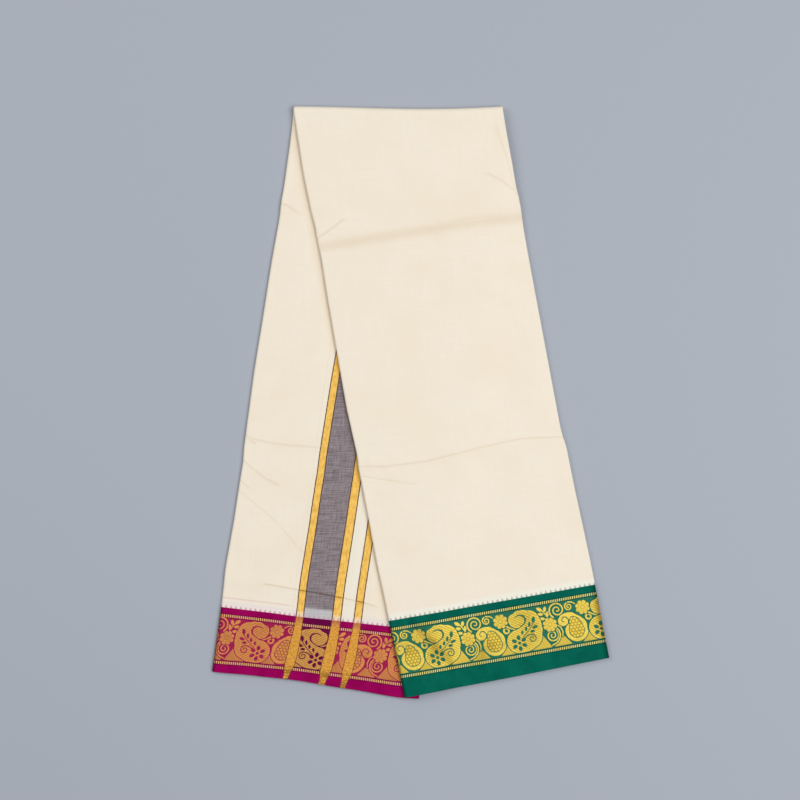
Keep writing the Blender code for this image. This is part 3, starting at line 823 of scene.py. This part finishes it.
class Tree:
    """Builds one material's nodes. A value in a call is a number, a colour or a socket."""

    def __init__(self, name, colour, sheen, gloss=0.3):
        self.material = bpy.data.materials.new(name)
        self.material.use_nodes = True
        self.nodes = self.material.node_tree.nodes
        self.colour = colour
        self.set("Sheen Weight", sheen)
        self.set("Sheen Roughness", 0.45)
        self.set("Specular IOR Level", gloss)
        places = self.node("ShaderNodeAttribute", attribute_name="cloth").outputs["Vector"]
        self.u, self.v, self.q = self.node("ShaderNodeSeparateXYZ", {0: places}).outputs

    def node(self, kind, values=None, **settings):
        made = self.nodes.new(kind)
        for name, setting in settings.items():
            setattr(made, name, setting)
        for name, value in (values or {}).items():
            self.put(made.inputs[name], value)
        return made

    def put(self, socket, value):
        if isinstance(value, bpy.types.NodeSocket):
            self.material.node_tree.links.new(value, socket)
        elif isinstance(value, tuple) and len(value) == 3 and socket.type == "RGBA":
            socket.default_value = (*value, 1.0)
        else:
            socket.default_value = value

    def set(self, name, value):
        self.put(self.nodes["Principled BSDF"].inputs[name], value)

    def math(self, operation, a, b=0.0, c=0.0):
        return self.node("ShaderNodeMath", {0: a, 1: b, 2: c}, operation=operation).outputs[0]

    def add(self, a, b):
        return self.math("ADD", a, b)

    def sub(self, a, b):
        return self.math("SUBTRACT", a, b)

    def mul(self, a, b):
        return self.math("MULTIPLY", a, b)

    def apart(self, a, b):
        return self.math("ABSOLUTE", self.sub(a, b))

    def off_middle(self, value):
        """How far value is from the middle between two whole numbers."""
        return self.apart(self.math("FRACT", value), 0.5)

    def most(self, *values):
        return functools.reduce(functools.partial(self.math, "MAXIMUM"), values)

    def least(self, *values):
        return functools.reduce(functools.partial(self.math, "MINIMUM"), values)

    def step(self, value, start, end, low=0.0, high=1.0):
        """Goes smoothly from low to high while value goes from start to end."""
        values = {"Value": value, "From Min": start, "From Max": end, "To Min": low, "To Max": high}
        made = self.node("ShaderNodeMapRange", values, interpolation_type="SMOOTHSTEP")
        return made.outputs["Result"]

    def between(self, value, start, end, soft):
        rise = self.step(value, start - soft, start + soft)
        return self.least(rise, self.step(value, end - soft, end + soft, 1.0, 0.0))

    def mix(self, share, a, b, blend="MIX"):
        values = {"Factor": share, 6: a, 7: b}
        return self.node("ShaderNodeMix", values, data_type="RGBA", blend_type=blend).outputs[2]

    def paint(self, share, colour, blend="MIX"):
        """Lays a colour over the one so far."""
        self.colour = self.mix(share, self.colour, colour, blend)

    def noise(self, scale, detail=2.0, stretch=(1.0, 1.0), roughness=0.5):
        """Noise over the cloth, with features about `scale` millimetres long."""
        along, across = self.mul(self.u, stretch[0] / scale), self.mul(self.v, stretch[1] / scale)
        at = self.node("ShaderNodeCombineXYZ", {0: along, 1: across, 2: 0.0}).outputs[0]
        values = {"Vector": at, "Scale": 1.0, "Detail": detail, "Roughness": roughness}
        return self.node("ShaderNodeTexNoise", values).outputs[0]

    def attribute(self, name):
        return self.node("ShaderNodeAttribute", attribute_name=name).outputs["Fac"]

    def bump(self, height, distance, strength, under=None):
        values = {"Height": height, "Distance": distance * MM, "Strength": strength}
        if under:
            values["Normal"] = under
        return self.node("ShaderNodeBump", values).outputs[0]

    def weave(self):
        """Plain weave: each thread goes over one and under the next."""
        wobble = self.mul(self.noise(6.0), 0.5)
        places = (self.add(place, wobble) for place in (self.u, self.v))
        return self.mul(*(self.math("SINE", self.mul(place, math.pi / THREAD)) for place in places))

    def slubs(self):
        """Threads that are a little thicker or paler than their neighbours, both ways of the cloth."""
        ways = (self.noise(1.1, 3.0, stretch, 0.6) for stretch in ((1.0, 0.035), (0.035, 1.0)))
        return self.mul(self.add(*ways), 0.5)

    def bars(self, wider=0.0):
        """Distance inside the gold bars, and inside the grey band."""
        below = self.most(self.q, 0.0)
        above = self.most(self.sub(-LEAN_ABOVE_FROM, self.q), 0.0)
        lean = self.add(self.mul(self.mul(below, below), -LEAN_BELOW), self.mul(above, LEAN_ABOVE))
        jagged = self.mul(self.sub(self.noise(1.6, 2.0, (0.4, 1.0)), 0.5), 0.9)
        u = self.add(self.add(self.u, lean), jagged)

        def inside(bar, half_width):
            return self.sub(half_width, self.apart(u, bar.middle))

        gold = self.most(*(inside(bar, self.add(bar.width / 2, wider)) for bar in BARS))
        return gold, inside(GREY, GREY.width / 2)


def cream_material():
    """The body cloth, with the striped end and the white bands along the borders in it."""
    t = Tree("cream_cotton_cloth", CREAM, sheen=0.2)
    slubs = t.slubs()
    t.paint(t.step(t.noise(55.0, 3.0), 0.35, 0.7, 0.0, 0.6), CREAM_WARM)
    t.paint(t.step(slubs, 0.42, 0.62, 0.0, 0.4), CREAM_WARM)
    for stretch in ((1.0, 0.1), (0.1, 1.0)):
        t.paint(t.step(t.noise(3.2, 3.0, stretch, 0.6), 0.5, 0.72, 0.0, 0.45), CREAM_WARM)
    # The white band beside the border, and the second border's faint line through the cloth
    by_magenta = t.step(t.v, HALVES_PART_AT, HALVES_PART_AT + 1)
    temple = t.mix(by_magenta, TEMPLE_WHITE, TEMPLE_PINK)
    t.paint(t.step(t.q, -TEMPLE_WIDTH - TEMPLE_SOFT, -TEMPLE_WIDTH + TEMPLE_SOFT), temple)
    ghost = t.mul(t.between(t.q, *GHOST_LINE, 0.8), t.mul(by_magenta, 0.3))
    t.paint(t.mul(ghost, t.step(t.u, *GHOST_BEGINS)), MAGENTA.tooth)
    # The striped end. Between its last two bars the cloth is whiter, with a few dark threads
    t.paint(t.mul(t.between(t.u, *WHITE_PART, 2.0), 0.5), TEMPLE_WHITE)
    for place in DARK_THREADS:
        t.paint(t.mul(t.between(t.u, place - 0.3, place + 0.3, 0.5), 0.3), SHADE_AND_THREAD_TINT)
    gold, grey = t.bars()
    along = t.mul(t.noise(1.0, 3.0, (0.05, 1.0), 0.7), 0.6)
    streaks = t.add(along, t.mul(t.noise(0.9, 2.0, (1.0, 0.06), 0.7), 0.4))
    grey_colour = t.mix(t.step(streaks, 0.36, 0.62), scaled(GREY_YARN, 0.8), scaled(GREY_YARN, 1.85))
    pale = t.mul(t.step(t.q, *GREY_PALES), t.step(streaks, 0.34, 0.6, 0.68, 0.88))
    on_grey = t.step(grey, -0.3, 0.3)
    t.paint(on_grey, t.mix(pale, grey_colour, GREY_PALE))
    t.paint(t.between(gold, -1.25, -0.05, 0.25), BROWN_YARN)
    glint = t.step(t.noise(2.4, 3.0, (1.0, 0.35), 0.65), 0.4, 0.66)
    gold_colour = t.mix(glint, scaled(STRIPE_GOLD, 1.05), STRIPE_DEEP)
    on_gold = t.step(gold, -0.15, 0.15)
    t.paint(on_gold, t.mix(t.step(t.q, *GOLD_PALES, 0.0, 0.45), gold_colour, TEMPLE_WHITE))
    # Teeth of border yarn that stand in the white band
    saw = t.off_middle(t.mul(t.u, 1 / TOOTH_PITCH))
    reach = t.mul(t.sub(TOOTH_HALF, saw), TOOTH_HEIGHT / TOOTH_HALF)
    tooth = t.mul(t.step(t.add(t.q, reach), -0.3, 0.4), t.step(t.q, -TEMPLE_WIDTH, -TEMPLE_WIDTH + 1))
    t.paint(t.mul(tooth, 0.8), t.mix(by_magenta, GREEN.tooth, MAGENTA.tooth))
    # Painted shade: the creases, and the cloth beside the front half's edge, are painted darker and warmer,
    # darkest across the stripes
    crease = t.attribute("dark")
    t.paint(t.mul(crease, 0.55), SHADE_AND_THREAD_TINT, "MULTIPLY")
    striped = t.most(on_grey, on_gold)
    t.paint(t.mul(t.mul(crease, crease), t.mul(striped, 0.75)), STRIPE_CREASE_SHADE, "MULTIPLY")
    t.set("Base Color", t.colour)
    t.set("Roughness", t.step(slubs, 0.35, 0.65, 0.8, 0.92))
    t.set("Metallic", t.mul(on_gold, 0.1))
    soft = t.bump(t.noise(16.0, 3.0), 0.5, 0.5)
    t.set("Normal", t.bump(t.add(t.weave(), t.mul(slubs, 2.5)), 0.05, 0.6, soft))
    return t.material


def border_material(name, hues, band, striped):
    """A border with its gold figures and dashes. Where it is striped, the bars cross it too."""
    t = Tree(name, hues.ground, sheen=0.0, gloss=0.02)
    t.paint(t.step(t.slubs(), 0.4, 0.7, 0.0, 0.22), hues.light)
    t.paint(t.step(t.noise(18.0, 3.0), 0.35, 0.7, 0.0, 0.6), scaled(hues.ground, 0.68))
    in_band = t.between(t.q, band.top_row + 2.2, band.low_row - 2.4, 0.3)
    grain = t.noise(0.8, 2.0, (0.5, 1.0), 0.7)
    t.paint(t.mul(in_band, 0.6), hues.light)
    t.paint(t.mul(t.step(grain, 0.52, 0.68), t.mul(in_band, 0.35)), hues.dull)
    # Thin darker lines on both sides of the rows of dashes
    dark_ground = scaled(hues.ground, 0.3)
    for row in (band.top_row, band.low_row):
        beside = t.apart(t.apart(t.q, row), DASH_HEIGHT / 2 + ROW_LINE_OFF)
        t.paint(t.step(beside, 0.3, 0.7, 0.65, 0.0), dark_ground)
    gold_colour = hues.gold
    if striped:
        # The bars widen across the figured band and narrow again below it
        wider = t.add(t.step(t.q, 5.0, 40.0, 0.4, 1.6), t.step(t.q, 54.0, 70.0, 0.0, -2.4))
        bars, grey = t.bars(wider)
        under_grey = t.mul(t.step(grey, -0.3, 0.3), t.step(t.q, 59.0, 61.0, 1.0, 0.0))
        t.paint(t.mul(under_grey, 0.85), MAGENTA_DARK)
        gold_colour = t.mix(t.mul(under_grey, 0.7), gold_colour, scaled(STRIPE_GOLD, 0.75))
    # Gold figures and dashes
    figure = t.add(t.attribute("gold"), t.mul(t.sub(grain, 0.5), 0.5))
    slanted = t.mul(t.add(t.u, t.mul(t.q, DASH_SLANT)), 1 / DASH_PITCH)
    dash = t.mul(t.sub(DASH_HALF, t.off_middle(slanted)), DASH_PITCH)
    in_row = t.most(*(t.sub(DASH_HEIGHT / 2, t.apart(t.q, row)) for row in (band.top_row, band.low_row)))
    t.paint(t.step(in_row, -0.2, 0.2, 0.0, 0.6), dark_ground)
    dash = t.least(dash, in_row)
    ribs = t.math("SINE", t.mul(t.v, 2 * math.pi / RIB_PITCH))
    glint = t.add(t.mul(ribs, 0.12), t.noise(1.1, 3.0, (0.6, 1.0), 0.8))
    patchy = t.step(t.noise(26.0, 3.0), 0.5, 0.75, 0.0, 0.3)
    tone = t.attribute("tone")
    # How dull the gold is: the figure's own tone, painted glints from the ribs and fine noise, and broad
    # dull patches at random
    dullness_and_glint = t.least(t.add(t.most(tone, t.step(glint, 0.32, 0.62, 0.6, 0.0)), patchy), 1.0)
    t.paint(t.step(figure, -0.15, 0.15), t.mix(dullness_and_glint, gold_colour, hues.dull))
    t.paint(t.step(dash, -0.15, 0.15), hues.dash)
    on_gold = t.step(t.most(figure, dash), -0.15, 0.15)
    if striped:
        bar = t.step(bars, -0.15, 0.15)
        twill = t.step(t.noise(1.5, 3.0, (0.6, 1.0), 0.8), 0.34, 0.6, 0.75, 0.05)
        streaks = t.step(t.noise(1.3, 2.0, (0.12, 1.0)), 0.4, 0.6)
        mottled = t.least(t.add(twill, t.mul(streaks, t.step(t.q, 54.0, 62.0, 0.1, 0.75))), 1.0)
        bar_colour = t.mix(mottled, scaled(BAR_GOLD, 1.25), scaled(BAR_GOLD, 0.45))
        bar_colour = t.mix(t.step(t.q, 2.0, 9.0, 0.4, 0.0), bar_colour, hues.ground)
        t.paint(t.mul(t.between(bars, -0.9, -0.1, 0.3), 0.75), BROWN_YARN)
        t.paint(bar, bar_colour)
        on_gold = t.most(on_gold, bar)
    # Painted shade in the creases and along the rounded edges
    t.paint(t.attribute("dark"), BORDER_PAINTED_SHADE, "MULTIPLY")
    t.set("Base Color", t.colour)
    t.set("Metallic", t.mul(on_gold, 0.25))
    t.set("Roughness", t.step(on_gold, 0.0, 1.0, 0.62, 0.45))
    raised = t.bump(t.step(t.sub(figure, t.mul(tone, 0.6)), -0.5, 0.6), 0.15, 0.9)
    t.set("Normal", t.bump(t.add(t.weave(), t.mul(ribs, 0.5)), 0.05, 0.6, raised))
    return t.material


CREAM_CLOTH = cream_material()
GREEN_CLOTH = border_material("green_border_cloth", GREEN, GREEN_BAND, False)
MAGENTA_CLOTH = border_material("magenta_border_cloth", MAGENTA, MAGENTA_BAND, True)

# The model's drawing begins at the fold line, and the frame at the middle of the whole cloth
fold_low, fold_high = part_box("fold_layers")
OFFSET = np.array([
    (fold_low[0] + fold_high[0]) / 2 / MM,
    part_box("front_cloth")[1][1] / MM - FOLD_RADIUS,
    0.0,
])


def strung(arrays, width=1):
    """Arrays over grids as one list of points, each with `width` values."""
    return np.concatenate([a.reshape(-1, width) for a in arrays])


def mesh_of(name, grids, golds, flipped):
    faces = []
    start = 0
    for grid in grids:
        rows, columns = grid.dark.shape
        at = start + np.arange(rows * columns).reshape(rows, columns)
        quads = np.stack([at[:-1, :-1], at[1:, :-1], at[1:, 1:], at[:-1, 1:]], -1).reshape(-1, 4)
        faces.append(quads[:, ::-1] if flipped else quads)
        start += rows * columns
    mesh = bpy.data.meshes.new(name)
    places = (strung([grid.points for grid in grids], 3) + OFFSET) * MM
    mesh.from_pydata(places.tolist(), [], np.concatenate(faces).tolist())
    held = mesh.attributes.new("cloth", "FLOAT_VECTOR", "POINT")
    held.data.foreach_set("vector", strung([grid.cloth for grid in grids], 3).astype(np.float32).ravel())
    distances, tones = zip(*golds)
    for label, values in (("dark", [grid.dark for grid in grids]), ("gold", distances), ("tone", tones)):
        held = mesh.attributes.new(label, "FLOAT", "POINT")
        held.data.foreach_set("value", strung(values).astype(np.float32).ravel())
    mesh.shade_smooth()
    mesh.set_sharp_from_angle(angle=SMOOTH_BELOW)
    return mesh


def placed(name, data):
    made = bpy.data.objects.new(name, data)
    bpy.context.scene.collection.objects.link(made)
    return made


# A piece's material and its slot, and a border's figured band, where it begins and its jumps
Finish = namedtuple("Finish", "material slot")
Gilding = namedtuple("Gilding", "band phase jumps")
CREAM_FINISH = Finish(CREAM_CLOTH, "cream_cotton")


def add_piece(name, grids, half, finish, nodes, gilding=None):
    grids = [with_lips(grid) for grid in grids]
    if gilding:
        shines = [gold_of(grid, *gilding) for grid in grids]
    else:
        shines = [(np.full(grid.dark.shape, -GOLD_REACH), grid.dark) for grid in grids]
    made = placed(name, mesh_of(name, grids, shines, half is BACK))
    material, slot = finish
    made.data.materials.append(material)
    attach(made, "root")
    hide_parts(*nodes)


def u_at(path, across):
    """Where a place across an outer leaf lies along the cloth."""
    flat = path.panel == round(float(np.median(path.panel)))
    places = (path.off + path.share * FOLD_WIDTH)[flat]
    order = np.argsort(places)
    return float(np.interp(across, places[order], path.u[flat][order]))


def counts(fine_panel, step):
    fine, coarse = math.ceil(FOLD_WIDTH / step), math.ceil(FOLD_WIDTH / HIDDEN_STEP)
    return lambda panel: fine if panel == fine_panel else coarse


EDGES = (("first_column",), (), ("last_column",))


def add_half(half, points_at, face, under, side, finish):
    """One half's pieces. face and under say which of the strip's three pieces lies on top and below."""
    plain = pieces_of(counts(face, FACE_STEP))
    fine = pieces_of(counts(face, BORDER_STEP))
    below = pieces_of(counts(under, UNDER_BORDER_STEP))

    def cloth(paths, i, step):
        return grid_of(half, points_at, paths[i], cloth_rows(half, paths[i], step), EDGES[i])

    def hem(paths, i, step):
        rows = border_rows(half, paths[i], step)
        return grid_of(half, points_at, paths[i], rows, (*EDGES[i], "last_row"))

    def add(name, grids, finish, solid, gilding=None):
        add_piece(f"{side}_{name}", grids, half, finish, [f"{side}_{solid}"], gilding)

    top = cloth(plain, face, FACE_STEP)
    length, border = half.seam, half.end - half.seam
    if half is BACK:
        gilding = Gilding(MAGENTA_BAND, FOLD_WIDTH - MAGENTA_PHASE - FREE_END_INSET[16], MAGENTA_JUMPS)
        under_gilding = Gilding(MAGENTA_BAND, u_at(below[1], GREEN_PHASE), ())
    else:
        top = joined(fold_grid(plain[face], EDGES[face]), top)
        length += TURN_TAKES
        gilding = Gilding(GREEN_BAND, u_at(fine[1], GREEN_PHASE), ())
        under_gilding = gilding
    add("face", [top], CREAM_FINISH, "cloth")
    add("border_face", [hem(fine, face, BORDER_STEP)], finish, "border", gilding)
    underside = [hem(below, under, UNDER_BORDER_STEP)]
    add("border_underside", underside, finish, "border_layers", under_gilding)
    leaves = [cloth(plain, i, HIDDEN_ROW_STEP) for i in (under, 2)]
    add("leaves", leaves, CREAM_FINISH, "layers")
    add("border_leaves", [hem(plain, 2, HIDDEN_STEP)], finish, "border_layers")
    if half is FRONT:
        turns = [fold_grid(plain[i], EDGES[i]) for i in (under, 2)]
        add_piece("fold_leaves", turns, half, CREAM_FINISH, ["fold_layers"])


def add_floor():
    mesh = bpy.data.meshes.new("floor")
    far = 3.0
    mesh.from_pydata([(-far, -far, 0), (far, -far, 0), (far, far, 0), (-far, far, 0)], [], [(0, 1, 2, 3)])
    floor = placed("floor", mesh)
    made = bpy.data.materials.new("pale_floor")
    made.use_nodes = True
    shader = made.node_tree.nodes["Principled BSDF"]
    shader.inputs["Base Color"].default_value = (*FLOOR, 1.0)
    shader.inputs["Roughness"].default_value = 0.9
    shader.inputs["Specular IOR Level"].default_value = 0.2
    mesh.materials.append(made)


def add_light(name, place, size, power, colour):
    """A square light that faces the cloth. Its place and size are in metres, its power in watts."""
    data = bpy.data.lights.new(name, "AREA")
    data.shape = "SQUARE"
    data.size = size
    data.energy = power
    data.color = colour
    made = placed(name, data)
    made.location = place
    to_cloth = -np.array(place)
    pitch = math.acos(-to_cloth[2] / np.linalg.norm(to_cloth))
    made.rotation_euler = (pitch, 0.0, math.atan2(to_cloth[1], to_cloth[0]) - math.pi / 2)
    made.visible_camera = False


def add_lights():
    add_light("left_box", (-1.7, 0.9, 1.9), 1.5, 20.5, WARM_LIGHT)
    add_light("right_box", (1.5, -0.2, 2.5), 1.8, 41.0, WARM_LIGHT)
    add_light("top_box", (1.5, 0.3, 3.3), 2.0, 19.5, (1.0, 1.0, 1.0))
    world = bpy.data.worlds.new("studio")
    world.use_nodes = True
    background = world.node_tree.nodes["Background"]
    background.inputs["Color"].default_value = (*SKY, 1.0)
    background.inputs["Strength"].default_value = 0.33
    bpy.context.scene.world = world
    bpy.context.scene.view_settings.view_transform = "Standard"


def add_camera():
    data = bpy.data.cameras.new("camera")
    data.sensor_width = SENSOR
    data.lens = SENSOR * (CAMERA_PLACE[2] - CLOTH_TOP) / PICTURE_WIDTH
    made = placed("camera", data)
    made.location = scaled(CAMERA_PLACE, MM)
    bpy.context.scene.camera = made


add_floor()
add_lights()
add_camera()
add_half(BACK, back_points, 0, 1, "back", Finish(MAGENTA_CLOTH, "magenta_border"))
add_half(FRONT, front_points, 1, 0, "front", Finish(GREEN_CLOTH, "green_border"))
